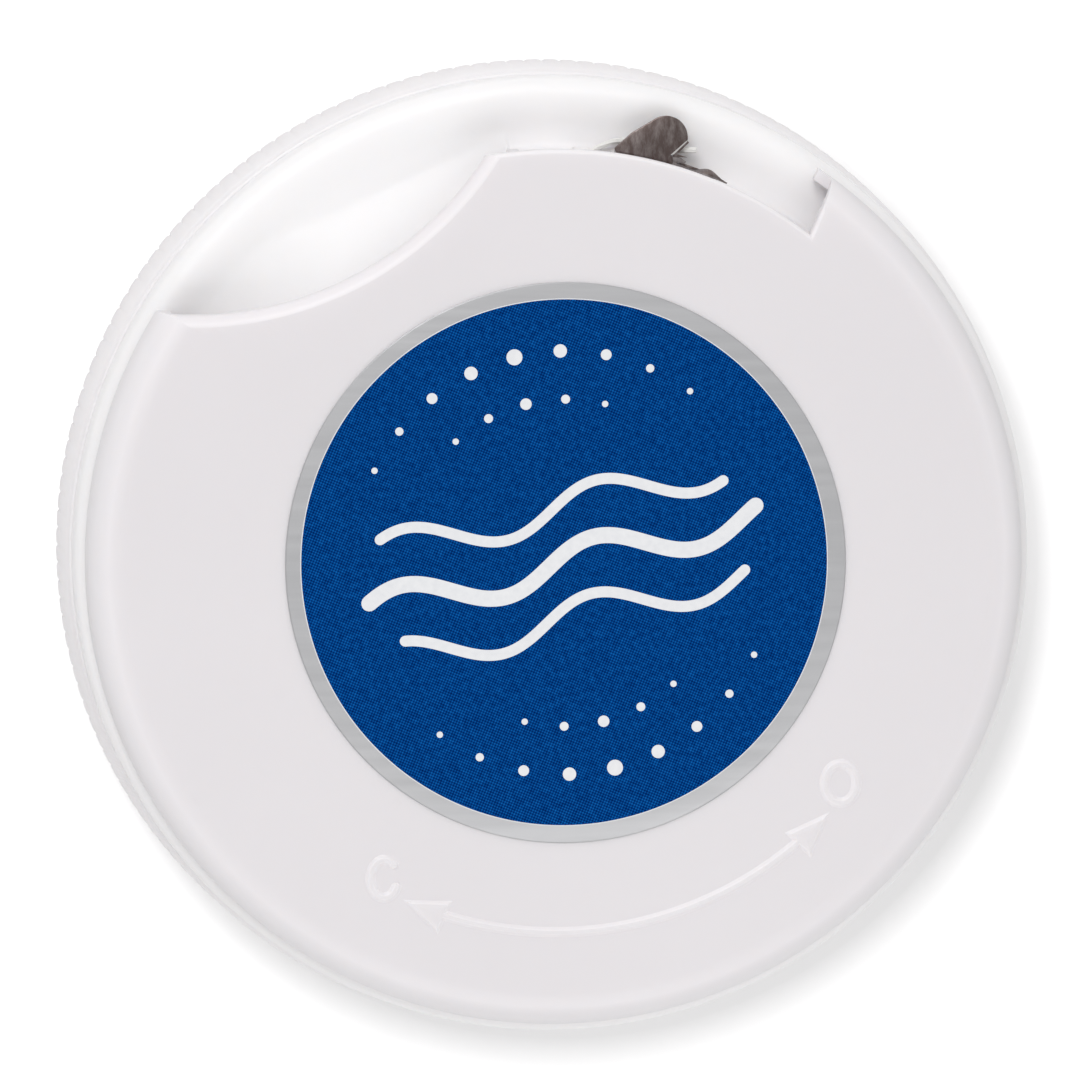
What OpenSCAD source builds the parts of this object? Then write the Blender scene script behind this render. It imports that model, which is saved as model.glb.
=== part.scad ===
// Round twist-open dental floss dispenser, lying on its back.
// A ribbed rear case holds a bobbin of floss. An inner deck snaps into the case,
// stands on it as a low drum, and carries the floss exit and the steel cutter.
// A shallow front cover with a window turns on the deck and hides or bares them.
// Origin: centre of the flat back. +Z runs out through the front face.
// Angles run anticlockwise from +X, seen from the front. Lengths are in mm.

/* [Case] */
// Thickness of the case wall, without its grip ribs
case_t = 1.15; // [1.1:0.05:1.6]
// Thickness of the back wall
back_t = 1.2; // [0.8:0.1:2]
// Height of the ledge that the deck's drum stands on
ledge_z = 9; // [8:0.5:13]
// Rounding of the back edge
back_round = 1.1; // [0.6:0.1:1.3]
// Bevel of the ledge's outer edge
ledge_bevel = 0.15; // [0.1:0.05:0.3]
// How far the deck plugs into the case
plug_h = 4; // [3:0.25:5]
// Radius of the moulded groove in the back
back_groove_r = 25; // [20:0.5:26]
// Width of that groove
back_groove_w = 0.6; // [0.4:0.1:1]
// Depth of that groove
back_groove_h = 0.25; // [0.1:0.05:0.4]

/* [Grip ribs] */
// Number of ribs, a multiple of four
rib_count = 172; // [120:4:200]
// Height of a rib above the case wall, at its end near the back
rib_h = 0.6; // [0.4:0.05:0.7]
// Height of a rib at its end near the ledge
rib_top_h = 0.2; // [0.15:0.05:0.3]
// Height of the plain band below and above the ribs
plain_band_h = 0.6; // [0.3:0.1:1.2]
// Width of the plain index bar that the open and close marks point at
index_w = 2; // [1.5:0.25:3]

/* [Spindle] */
// Radius of the spindle
spindle_r = 3.5; // [3:0.25:3.75]
// Wall of the hollow spindle
spindle_t = 1.1; // [0.8:0.1:1.4]
// Radius of the pad that the bobbin runs on
pad_r = 6; // [5.5:0.25:6.75]
// Height of that pad above the back wall
pad_h = 0.3; // [0.2:0.05:0.6]

/* [Deck] */
// Outer radius of the deck's drum, where it stands on the case
drum_r = 30; // [28:0.5:33]
// How much narrower the drum is at its top
drum_draft = 0.05; // [0:0.05:0.15]
// Width of the step from the drum in to the plug
plug_step = 1; // [0.8:0.1:1.2]
// Wall thickness of the deck
deck_t = 1; // [0.8:0.1:1.1]
// Distance from the drum's edge to the raised wall beside the cutter
channel_w = 4.5; // [4.3:0.1:4.9]
// Depth of the channel floor below the front face
channel_depth = 3.4; // [3.1:0.1:3.7]
// Height of the rounded ridge round the drum's edge, above the channel floor
ridge_h = 0.35; // [0.2:0.05:0.45]
// Outer rounding of that ridge
ridge_round = 1.1; // [0.9:0.1:1.3]
// Width of the ridge's inner slope
ridge_slope_w = 1.25; // [1:0.05:1.4]
// Width of the hollow slope of the thumb dish
dish_w = 6.2; // [5.4:0.1:7]
// How far the dish reaches inside the raised wall
dish_reach = 4.8; // [4.4:0.1:5.2]
// Rounding at the foot of the raised wall
foot_round = 0.5; // [0.3:0.05:0.7]
// Rounding along the top of the raised wall
brow_round = 0.3; // [0.15:0.05:0.45]
// Radius of the hole that the cover's boss turns in
hub_r = 6; // [5.5:0.25:7]
// Height of the snap bead round the plug
bead_h = 0.25; // [0.15:0.05:0.35]
// Width of the snap bead
bead_w = 1; // [0.8:0.1:1.4]

/* [Floss exit] */
// Middle of the exit slot
exit_a = 85; // [84.5:0.5:86.5]
// Width of the exit slot
exit_w = 2.6; // [2.4:0.1:3]
// Height of the exit slot
exit_h = 1; // [0.8:0.1:1.1]
// Height of the slot's sill above the channel floor
exit_sill = 0.1; // [0.05:0.05:0.2]

/* [Cover] */
// Height of the cover's face above the ledge
face_h = 7; // [6.5:0.25:9]
// Thickness of the cover's front plate
plate_t = 1.2; // [1:0.1:1.3]
// How far the cover's edge stays inside the drum's
edge_in = 0.65; // [0.5:0.05:0.8]
// Width of the soft rounding from the face to the edge
edge_w = 2.3; // [1.8:0.1:2.5]
// Height of that rounding
edge_h = 2.4; // [1.8:0.1:2.5]
// Thickness of the cover's edge wall
skirt_t = 0.8; // [0.7:0.05:0.9]
// Fillet between the edge wall and the front plate, inside
skirt_fillet = 0.4; // [0.2:0.05:0.5]
// Thickness of the hollow boss that turns in the deck
boss_t = 1.1; // [0.9:0.1:1.4]
// Overhang of the boss's snap lip
lip_w = 0.45; // [0.3:0.05:0.6]
// Height of the snap lip
lip_h = 0.9; // [0.7:0.1:1.1]
// Width of the slits between the boss's four fingers
slit_w = 1; // [0.8:0.1:1.4]
// Angle that the cover turns between open and closed
turn_a = 80.5; // [78:0.5:81]

/* [Window] */
// Direction of the window's right-hand corner
window_a0 = 52.5; // [51:0.5:54]
// Lean of the window's right-hand end from the radius
window_lean = 13; // [8:1:16]
// Length of the low tab that the edge wall ends in there
tab_l = 1; // [0.8:0.1:1.4]
// Depth of that tab below the face
tab_drop = 1.8; // [1.6:0.1:2.2]
// How far the window's arc lies outside the raised wall
window_gap = 0.1; // [0.05:0.05:0.3]
// Direction of the thumb scoop's middle
scoop_a = 121.6; // [121.4:0.2:122.2]
// Radius of the scoop's edge on the face
scoop_r = 22.5; // [22:0.25:23]
// How far the scoop reaches in from the cover's edge
scoop_in = 8.55; // [8.4:0.05:8.7]
// Rounding of the scoop's edge
scoop_round = 1; // [0.6:0.1:1.2]
// Thickness of the wall under the scoop's edge
scoop_wall = 1.2; // [1:0.1:1.4]

/* [Marks] */
// Distance from the cover's edge to the middle of the arrow's shaft
arrow_in = 6.15; // [5.8:0.05:6.5]
// Width of every raised stroke
stroke_w = 0.62; // [0.5:0.02:0.8]
// Height of the raised strokes
stroke_h = 0.22; // [0.15:0.01:0.35]
// Half the width of the open mark's oval, to the middle of its stroke
open_w = 0.98; // [0.8:0.02:1.1]
// Half the height of the open mark's oval
open_h = 1.22; // [1:0.02:1.4]
// Half the width of the close mark's oval
close_w = 0.8; // [0.7:0.02:1]
// Half the height of the close mark's oval
close_h = 1.15; // [1:0.02:1.35]
// Distance from the cover's edge to the middle of those ovals
ring_in = 6.8; // [6.4:0.05:7.1]
// Half width of an arrow head
head_w = 1.05; // [0.9:0.05:1.4]
// Length of an arrow head
head_l = 2.5; // [2:0.1:3]
// Direction of the open mark, which the index bar shares
open_a = -38.3; // [-40:0.1:-37]

/* [Label] */
// Radius of the silver film
label_r = 17.5; // [15:0.25:18]
// Thickness of the film
label_t = 0.12; // [0.08:0.02:0.2]
// How far to the right of the axis the film is stuck on
label_x = 0.44; // [-0.6:0.02:0.6]
// How far above the axis it is stuck on
label_y = -0.12; // [-0.6:0.02:0.6]
// Silver border left bare round the print
border_w = 1.1; // [0.6:0.1:2]
// How far to the right of the film's middle the print lies
print_x = -0.11; // [-0.2:0.01:0.2]
// How far above the film's middle the print lies
print_y = 0.05; // [-0.2:0.01:0.2]
// Thickness of the printed layer
print_t = 0.06; // [0.04:0.01:0.1]

/* [Cutter] */
// Thickness of the steel
steel_t = 0.3; // [0.2:0.02:0.35]
// Direction of the cutter's tongue
tongue_a = 77; // [76.6:0.2:77.4]
// Reach of the tongue from the raised wall
tongue_l = 2.9; // [2.75:0.05:2.95]
// Radius of the tongue's round tip
tongue_r = 1.35; // [1.2:0.05:1.4]
// Sideways lean of the tip towards the notch
tongue_lean = 0.55; // [0.4:0.05:0.7]
// Width of the tongue at its root, left of its middle
root_left_w = 2.1; // [1.9:0.05:2.3]
// Width of the tongue at its root, right of its middle
root_right_w = 0.45; // [0.3:0.05:0.6]
// Height of the strip above the channel floor
strip_h = 1.6; // [1.45:0.05:1.65]
// Left-hand end of the strip
strip_a1 = 81.9; // [81.7:0.1:82.1]
// Right-hand end of the strip, where its spur starts
strip_a0 = 67.2; // [66.8:0.2:68]
// Radius of the curled spur
spur_r = 0.7; // [0.6:0.05:0.8]
// Width of each of the strip's two legs
leg_w = 1.6; // [1.2:0.1:2]
// How far the legs reach below the channel floor
leg_l = 1.3; // [1.1:0.05:1.5]

/* [Bobbin] */
// Radius of the core that the floss is wound on
core_r = 8; // [7:0.25:10]
// Wall of the core
core_t = 0.9; // [0.7:0.1:1.2]
// Thickness of the flanges and the web
flange_t = 0.8; // [0.6:0.05:1]
// Wall of the tube that runs on the spindle
tube_t = 0.9; // [0.7:0.1:1.2]
// Room between the bobbin and the raised wall, where the floss rises
floss_room = 1.4; // [1.2:0.1:1.8]
// How far the full winding stays inside the flanges
winding_in = 1.2; // [1:0.1:3]

/* [Floss] */
// Diameter of the floss
floss_d = 0.4; // [0.35:0.01:0.4]

/* [Fits] */
// Radial clearance of the running fits
run_gap = 0.07; // [0.04:0.01:0.09]
// Radial clearance of the deck in the case
plug_gap = 0.05; // [0.03:0.01:0.08]
// Gap between the cover's plate and the raised deck
plate_gap = 0.3; // [0.2:0.05:0.4]
// Gap under the cover's edge, the pad's gap and the snap lip's play
axial_gap = 0.2; // [0.1:0.05:0.25]
// Gap between the scoop's wall and the dish below it
scoop_gap = 0.3; // [0.25:0.05:0.4]
// Clearance round the cutter's legs
leg_gap = 0.05; // [0.03:0.01:0.1]

/* [Hidden] */

$fn = 96;
// Overrun of every cut and of every joint between shapes of one piece
over = 0.1;

// Radii from the drum outwards and inwards
plug_r = drum_r - plug_step;
bore_r = plug_r + plug_gap;
case_r = bore_r + case_t;
grip_r = case_r + rib_h;
crest_r = drum_r - drum_draft - ridge_round;
cover_r = drum_r - edge_in;
skirt_r = cover_r - skirt_t;
wall_r = drum_r - channel_w;
dish_r = wall_r - dish_reach;
window_r = wall_r + window_gap;
bobbin_r = wall_r - deck_t - floss_room;
winding_r = bobbin_r - winding_in;
boss_r = hub_r - run_gap;
tube_r = spindle_r + run_gap;

// Heights from the ledge upwards and downwards
ribs_z0 = back_round + plain_band_h;
ribs_z1 = ledge_z - plain_band_h;
face_z = ledge_z + face_h;
under_z = face_z - plate_t;
deck_z = under_z - plate_gap;
floor_z = face_z - channel_depth;
crest_z = floor_z + ridge_h;
edge_z = crest_z + axial_gap;
plug_z = ledge_z - plug_h;
lip_z = deck_z - deck_t - axial_gap;
boss_z = lip_z - lip_h;
spindle_z = boss_z - axial_gap;
bobbin_z0 = back_t + pad_h + axial_gap;
bobbin_z1 = spindle_z - axial_gap;

// The scoop's centre, the draft of its wall and the back of that wall
scoop_c = cover_r - scoop_in + scoop_r;
scoop_draft = 15;
scoop_back_r = scoop_r + scoop_wall - scoop_round / 2;

// Half the angle, seen from the axis, at which the scoop's edge crosses a radius
function crossing(r, edge_r = scoop_r) =
    acos((r * r + scoop_c * scoop_c - edge_r * edge_r) / (2 * r * scoop_c));

// The dish and its two stop walls, which the scoop's wall runs between
corner_a = scoop_a - crossing(window_r);
corner_lap_a = 0.3;
scoop_wall_a0 = corner_a - corner_lap_a;
stop_gap_a = 0.5;
scoop_wall_a1 = scoop_a + crossing(cover_r, scoop_back_r) + stop_gap_a;
stop_a0 = scoop_wall_a0 - stop_gap_a;
stop_a1 = scoop_a + crossing(wall_r + foot_round, scoop_back_r) + turn_a + 2 * stop_gap_a;
stop_wall_a = 2.2;
close_a = open_a - turn_a;

function polar(r, a) = [r * cos(a), r * sin(a)];
function arc(centre, r, a0, a1, steps = 6) = oval(centre, r, r, a0, a1, steps);
function oval(centre, w, h, a0, a1, steps = 6) =
    [for (i = [0:steps]) let (a = a0 + (a1 - a0) * i / steps) centre + [w * cos(a), h * sin(a)]];
// The deck's thumb dish: a hollow slope that ends level with the channel floor
function dish_z(r) = floor_z + (deck_z - floor_z) * pow(max(0, 1 - (r - dish_r) / dish_w), 2);
function dish_line(r0, r1, drop, steps = 8) =
    [for (i = [0:steps]) let (r = r0 + (r1 - r0) * i / steps) [r, dish_z(r) - drop]];

module pie(a0, a1, r, z0, z1, steps = 8) {
    half_step = (a1 - a0) / steps / 2;
    rim = [for (i = [0:steps]) polar(r / cos(half_step), a0 + (a1 - a0) * i / steps)];
    translate([0, 0, z0])
        linear_extrude(z1 - z0)
            polygon(concat([[0, 0]], rim));
}

module tube(r_out, r_in, z0, z1) {
    translate([0, 0, z0])
        difference() {
            cylinder(h = z1 - z0, r = r_out);
            translate([0, 0, -over])
                cylinder(h = z1 - z0 + 2 * over, r = r_in);
        }
}

// A slice of a ring, at a radius and with a width along that radius
module ring_slice(r_in, r_out, z0, z1, a0, a1) {
    rotate(a0)
        rotate_extrude(angle = a1 - a0)
            translate([r_in, z0])
                square([r_out - r_in, z1 - z0]);
}

// Rear case

module grip_ribs() {
    // Rise of a rib at its valley and at both corners of its flat tip
    rise_shares = [0, 1, 1];
    valley_share = 0.1;
    steps = len(rise_shares);
    valley_r = case_r + rib_h * valley_share;
    ribs = [
        for (i = [0:rib_count * steps - 1])
            polar(valley_r + (grip_r + over - valley_r) * rise_shares[i % steps],
                  360 * (i / steps - 0.5) / rib_count)
    ];
    translate([0, 0, ribs_z0])
        linear_extrude(ribs_z1 - ribs_z0)
            difference() {
                polygon(ribs);
                circle(r = case_r - case_t / 2);
            }
}

// The cone that all tips lie on, so that the grip narrows towards the ledge
module grip_cone() {
    lean = (rib_h - rib_top_h) / (ribs_z1 - ribs_z0);
    reach = 2 * over;
    rotate_extrude()
        polygon([
            [0, ribs_z0 - reach],
            [grip_r + lean * reach, ribs_z0 - reach],
            [case_r + rib_top_h - lean * reach, ribs_z1 + reach],
            [0, ribs_z1 + reach]
        ]);
}

module case_shell() {
    groove_z = (plug_z + ledge_z) / 2;
    rotate_extrude()
        polygon(concat(
            [[0, 0]],
            arc([case_r - back_round, back_round], back_round, -90, 0),
            [
                [case_r, ledge_z - ledge_bevel],
                [case_r - ledge_bevel, ledge_z],
                [bore_r, ledge_z],
                [bore_r, groove_z + bead_w / 2 + bead_h],
                [bore_r + bead_h, groove_z + bead_w / 2],
                [bore_r + bead_h, groove_z - bead_w / 2],
                [bore_r, groove_z - bead_w / 2 - bead_h]
            ],
            arc([bore_r - back_round, back_t + back_round], back_round, 0, -90),
            [[0, back_t]]
        ));
}

module spindle() {
    translate([0, 0, back_t - over])
        cylinder(h = pad_h + over, r = pad_r);
    rotate_extrude()
        polygon([
            [0, back_t - over],
            [spindle_r, back_t - over],
            [spindle_r, spindle_z - spindle_t / 2],
            [spindle_r - spindle_t / 2, spindle_z],
            [0, spindle_z]
        ]);
}

module index_bar() {
    rotate(open_a)
        translate([case_r - case_t / 2, -index_w / 2, ribs_z0])
            cube([rib_h + case_t / 2 + over, index_w, ribs_z1 - ribs_z0]);
}

module rear_case() {
    color("white")
        difference() {
            union() {
                case_shell();
                spindle();
                intersection() {
                    union() {
                        grip_ribs();
                        index_bar();
                    }
                    grip_cone();
                }
            }
            translate([0, 0, back_t])
                cylinder(h = spindle_z, r = spindle_r - spindle_t);
            tube(back_groove_r, back_groove_r - back_groove_w, -over, back_groove_h);
        }
}

// Inner deck

// Outer surface from the channel floor over the ridge to the foot of the drum
function ridge_line() = concat(
    [
        for (i = [0:6])
            [crest_r - ridge_slope_w * (1 - i / 6), floor_z + ridge_h * (1 - cos(180 * i / 6)) / 2]
    ],
    arc([crest_r, crest_z - ridge_round], ridge_round, 75, 0, 6),
    [[drum_r, ledge_z]]
);
// The plug's outer side, with its snap bead
function plug_line() =
    let (groove_z = (plug_z + ledge_z) / 2)
    [
        [plug_r, ledge_z],
        [plug_r, groove_z + bead_w / 2],
        [plug_r + bead_h, groove_z + bead_w / 4],
        [plug_r + bead_h, groove_z - bead_w / 4],
        [plug_r, groove_z - bead_w / 2],
        [plug_r, plug_z],
        [plug_r - deck_t, plug_z]
    ];

// Plate, raised wall, channel floor, drum and plug, all the way round
module deck_ring() {
    rotate_extrude()
        polygon(concat(
            [[hub_r, deck_z]],
            arc([wall_r - brow_round, deck_z - brow_round], brow_round, 90, 0, 4),
            arc([wall_r + foot_round, floor_z + foot_round], foot_round, 180, 270, 4),
            ridge_line(),
            plug_line(),
            [
                [plug_r - deck_t, ledge_z],
                [drum_r - deck_t, ledge_z + deck_t],
                [drum_r - deck_t, floor_z - deck_t],
                [wall_r - deck_t, floor_z - deck_t],
                [wall_r - deck_t, deck_z - deck_t],
                [hub_r, deck_z - deck_t]
            ]
        ));
}

// Body of the dish, with a stop wall beyond each end of it
module dish_block() {
    r0 = dish_r - over;
    r1 = wall_r - deck_t / 2;
    rotate(stop_a0 - stop_wall_a)
        rotate_extrude(angle = stop_a1 - stop_a0 + 2 * stop_wall_a)
            polygon(concat(
                dish_line(r0, r1, deck_t),
                [[r1, deck_z - deck_t / 2], [r0, deck_z - deck_t / 2]]
            ));
}

module dish_cut() {
    r0 = dish_r - over;
    r1 = wall_r + foot_round + over;
    rotate(stop_a0)
        rotate_extrude(angle = stop_a1 - stop_a0)
            polygon(concat(dish_line(r0, r1, 0), [[r1, deck_z + over], [r0, deck_z + over]]));
}

module exit_slot() {
    rotate(exit_a)
        translate([wall_r - deck_t - over, -exit_w / 2, floor_z + exit_sill])
            cube([deck_t + foot_round + over, exit_w, exit_h]);
}

// Angle, seen from the axis, that a width takes along the raised wall
function arc_angle(w) = w / wall_r * 180 / PI;
module leg_places() {
    for (a = [strip_a0 + arc_angle(leg_w), strip_a1 - arc_angle(leg_w)])
        rotate(a)
            children();
}
module leg_hole() {
    translate([wall_r - over, -leg_w / 2 - leg_gap, floor_z - deck_t - over])
        cube([steel_t + over + 2 * leg_gap, leg_w + 2 * leg_gap, deck_t + foot_round + 2 * over]);
}

module inner_deck() {
    color("whitesmoke")
        difference() {
            union() {
                deck_ring();
                dish_block();
            }
            dish_cut();
            exit_slot();
            leg_places()
                leg_hole();
        }
}

// Cutter

strip_r = wall_r + leg_gap;
strip_z1 = floor_z + strip_h;

module tongue() {
    root_r = steel_t / 2;
    rotate(tongue_a)
        translate([0, 0, strip_z1 - steel_t])
            linear_extrude(steel_t)
                hull() {
                    translate([wall_r + tongue_l - tongue_r, -tongue_lean])
                        circle(r = tongue_r, $fn = 32);
                    translate([strip_r + root_r, root_left_w])
                        circle(r = root_r, $fn = 16);
                    translate([strip_r + root_r, -root_right_w])
                        circle(r = root_r, $fn = 16);
                }
}

module spur() {
    // Outward curl at the end of the strip
    spur_a = 75;
    rotate(strip_a0)
        translate([strip_r + spur_r, 0, strip_z1 - strip_h / 2])
            rotate(180)
                rotate_extrude(angle = spur_a)
                    translate([spur_r - steel_t, 0])
                        square([steel_t, strip_h / 2]);
}

module cutter_blade() {
    color("dimgray") {
        ring_slice(strip_r, strip_r + steel_t, floor_z + foot_round, strip_z1, strip_a0, strip_a1);
        tongue();
        spur();
        leg_places()
            translate([strip_r, -leg_w / 2, floor_z - leg_l])
                cube([steel_t, leg_w, leg_l + foot_round + over]);
    }
}

// Front cover

module cover_shell() {
    rotate_extrude()
        polygon(concat(
            [[0, face_z]],
            oval([cover_r - drum_draft - edge_w, face_z - edge_h], edge_w, edge_h, 90, 0),
            [[cover_r, edge_z], [skirt_r, edge_z]],
            arc([skirt_r - skirt_fillet, under_z - skirt_fillet], skirt_fillet, 0, 90, 3),
            [[0, under_z]]
        ));
}

module boss() {
    difference() {
        rotate_extrude()
            polygon([
                [boss_r - boss_t, under_z + over],
                [boss_r, under_z + over],
                [boss_r, lip_z],
                [boss_r + lip_w, lip_z - lip_h / 4],
                [boss_r + lip_w, lip_z - lip_h / 2],
                [boss_r, boss_z],
                [boss_r - boss_t, boss_z]
            ]);
        for (a = [45, 135])
            rotate(a)
                translate([-hub_r - lip_w - over, -slit_w / 2, boss_z - over])
                    cube([2 * (hub_r + lip_w + over), slit_w, under_z - boss_z]);
    }
}

// Room under the plate and above the dish, less the gap that the cover runs with
module dish_room() {
    dish_r0 = dish_r + dish_w / 8;
    ridge_r0 = crest_r - ridge_slope_w - scoop_gap;
    rotate_extrude()
        polygon(concat(
            dish_line(dish_r0, dish_r + dish_w, -scoop_gap),
            [
                [ridge_r0, floor_z + scoop_gap],
                [ridge_r0, crest_z + scoop_gap],
                [skirt_r + over, crest_z + scoop_gap],
                [skirt_r + over, under_z + over],
                [dish_r0, under_z + over]
            ]
        ));
}

// The wall that closes the plate's scooped edge down to the dish
module scoop_skirt() {
    intersection() {
        dish_room();
        rotate(scoop_a)
            translate([scoop_c, 0, floor_z])
                cylinder(h = face_z - floor_z - plate_t / 2, r = scoop_back_r);
        pie(scoop_wall_a0, scoop_wall_a1, cover_r, floor_z, under_z + 2 * over);
    }
}

module scoop_cut() {
    // The rounding starts a little above the face, so that it crosses the face cleanly
    top = arc([scoop_r, face_z - scoop_round + over / 3], scoop_round, 90, 180 - scoop_draft, 4);
    knee = top[len(top) - 1];
    foot_z = floor_z - over;
    foot_r = knee[0] - (knee[1] - foot_z) * tan(scoop_draft);
    rotate(scoop_a)
        translate([scoop_c, 0, 0])
            rotate_extrude()
                polygon(concat(
                    [[0, foot_z], [foot_r, foot_z], knee],
                    [for (i = [len(top) - 2:-1:0]) top[i]],
                    [[scoop_r, face_z + over], [0, face_z + over]]
                ));
}

// Local x runs out along the window's right-hand end, local y into the window
module at_window_end() {
    translate(polar(window_r, window_a0))
        rotate(window_a0 + window_lean)
            children();
}

// Concentric part of the window, beside the cutter
module window_cut() {
    far = 2 * cover_r;
    end_a = window_a0 + window_lean;
    corner = polar(window_r, window_a0);
    difference() {
        intersection() {
            tube(cover_r + over, window_r, floor_z, face_z + over);
            translate([0, 0, floor_z - over])
                linear_extrude(face_z - floor_z + 3 * over)
                    polygon([
                        [0, 0],
                        corner - polar(window_gap, end_a),
                        corner + polar(far, end_a),
                        polar(far, scoop_a)
                    ]);
        }
        intersection() {
            tube(cover_r + 2 * over, skirt_r, floor_z - over, face_z - tab_drop);
            at_window_end()
                translate([0, -over, floor_z - 2 * over])
                    cube([channel_w, tab_l + over, face_z - floor_z]);
        }
    }
}

// A mark's middle lies at an angle and a radius on the face
module place_mark(a, r) {
    rotate(a)
        translate([r, 0, face_z - over])
            linear_extrude(stroke_h + over)
                children();
}

// A ring along an oval of a half width and a half height
module oval_ring(w, h) {
    steps = 48;
    last_a = 360 * (1 - 1 / steps);
    difference() {
        polygon(oval([0, 0], w + stroke_w / 2, h + stroke_w / 2, 0, last_a, steps - 1));
        polygon(oval([0, 0], w - stroke_w / 2, h - stroke_w / 2, 0, last_a, steps - 1));
    }
}

module open_mark() {
    place_mark(open_a, cover_r - ring_in)
        rotate(-open_a)
            oval_ring(open_w, open_h);
}

// The close mark is an oval with a gap at its upper right
module close_mark() {
    gap_a0 = 15;
    gap_a1 = 40;
    far = 2 * close_h;
    place_mark(close_a, cover_r - ring_in)
        rotate(-close_a)
            difference() {
                oval_ring(close_w, close_h);
                polygon([[0, 0], polar(far, gap_a0), polar(far, gap_a1)]);
            }
}

module arrow_mark() {
    arrow_r = cover_r - arrow_in;
    head_a = head_l / arrow_r * 180 / PI;
    from_a = close_a + 5;
    to_a = open_a - 5.4;
    ring_slice(arrow_r - stroke_w / 2, arrow_r + stroke_w / 2, face_z - over, face_z + stroke_h,
               from_a + head_a / 2, to_a - head_a / 2);
    place_mark(from_a + head_a, arrow_r)
        polygon([[0, -head_l], [-head_w, 0], [head_w, 0]]);
    place_mark(to_a - head_a, arrow_r)
        polygon([[0, head_l], [-head_w, 0], [head_w, 0]]);
}

module front_cover() {
    color("white") {
        difference() {
            union() {
                cover_shell();
                scoop_skirt();
            }
            scoop_cut();
            window_cut();
        }
        boss();
        open_mark();
        close_mark();
        arrow_mark();
    }
}

// Label

module label_film() {
    color("silver")
        translate([label_x, label_y, face_z])
            cylinder(h = label_t, r = label_r);
}

module label_print() {
    color("navy")
        translate([label_x + print_x, label_y + print_y, face_z + label_t])
            cylinder(h = print_t, r = label_r - border_w);
}

// Bobbin and floss

module floss_bobbin() {
    web_z = (bobbin_z0 + bobbin_z1 - flange_t) / 2;
    color("gainsboro") {
        tube(tube_r + tube_t, tube_r, bobbin_z0, bobbin_z1);
        tube(core_r, core_r - core_t, bobbin_z0, bobbin_z1);
        tube(core_r - core_t / 2, tube_r + tube_t / 2, web_z, web_z + flange_t);
        for (z = [bobbin_z0, bobbin_z1 - flange_t])
            tube(bobbin_r, core_r - core_t / 2, z, z + flange_t);
    }
}

module floss_winding() {
    // The wound floss bulges slightly between the flanges
    z0 = bobbin_z0 + flange_t;
    z1 = bobbin_z1 - flange_t;
    bulge = winding_in / 2;
    color("ivory")
        rotate_extrude()
            polygon([
                [core_r, z0],
                [winding_r - bulge, z0],
                [winding_r, z0 + bulge],
                [winding_r, z1 - bulge],
                [winding_r - bulge, z1],
                [core_r, z1]
            ]);
}

// The loose end leaves the winding, rises past the bobbin, comes out of the slot,
// passes under the tongue and ends just past the cutter's notch.
// Each row holds a share of the way from the winding out to the raised wall, an
// angle from the slot, and a share of the raised wall's height above the floor.
strand_route_shares = [
    [0.14, 36, -2.63],
    [0.17, 32, -2.42],
    [0.22, 28, -2.16],
    [0.28, 24, -1.89],
    [0.39, 21, -1.63],
    [0.47, 18, -1.37],
    [0.53, 15.5, -1.11],
    [0.56, 13, -0.84],
    [0.56, 10.8, -0.63],
    [0.56, 9, -0.42],
    [0.56, 7.2, -0.16],
    [0.56, 5.4, 0.11],
    [0.58, 3.8, 0.26],
    [0.69, 2.2, 0.32],
    [0.86, 0.7, 0.32],
    [1.03, -0.4, 0.32],
    [1.14, -1.8, 0.32],
    [1.22, -3.4, 0.26],
    [1.25, -5, 0.26],
    [1.25, -7, 0.26],
    [1.25, -9, 0.32],
    [1.28, -10.8, 0.42],
    [1.33, -12.4, 0.53],
    [1.39, -13.8, 0.63]
];

function strand_point(row) =
    let (r = winding_r + row[0] * (wall_r - winding_r))
    let (a = exit_a + row[1])
    [r * cos(a), r * sin(a), floor_z + row[2] * (deck_z - floor_z)];
function unit(v) = v / norm(v);
// A tube of round section along points, with square ends
module swept_tube(points, d, sides = 8) {
    last = len(points) - 1;
    rings = [
        for (i = [0:last])
            let (along = unit(points[min(i + 1, last)] - points[max(i - 1, 0)]))
            let (side = unit(cross(along, [0, 0, 1])))
            let (up = cross(side, along))
            for (k = [0:sides - 1])
                points[i] + d / 2 * (cos(360 * k / sides) * side + sin(360 * k / sides) * up)
    ];
    walls = [
        for (i = [0:last - 1])
            for (k = [0:sides - 1])
                let (a = i * sides + k)
                let (b = i * sides + (k + 1) % sides)
                each [[a, b, b + sides], [a, b + sides, a + sides]]
    ];
    start_cap = [for (k = [1:sides - 2]) [0, k + 1, k]];
    end_cap = [for (k = [1:sides - 2]) [last * sides, last * sides + k, last * sides + k + 1]];
    polyhedron(points = rings, faces = concat(walls, start_cap, end_cap));
}

module floss_strand() {
    color("ivory")
        swept_tube([for (row = strand_route_shares) strand_point(row)], floss_d);
}

rear_case();
inner_deck();
cutter_blade();
front_cover();
label_film();
label_print();
floss_bobbin();
floss_winding();
floss_strand();
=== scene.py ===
import math

import bpy
from mathutils import Matrix, Vector


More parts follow.
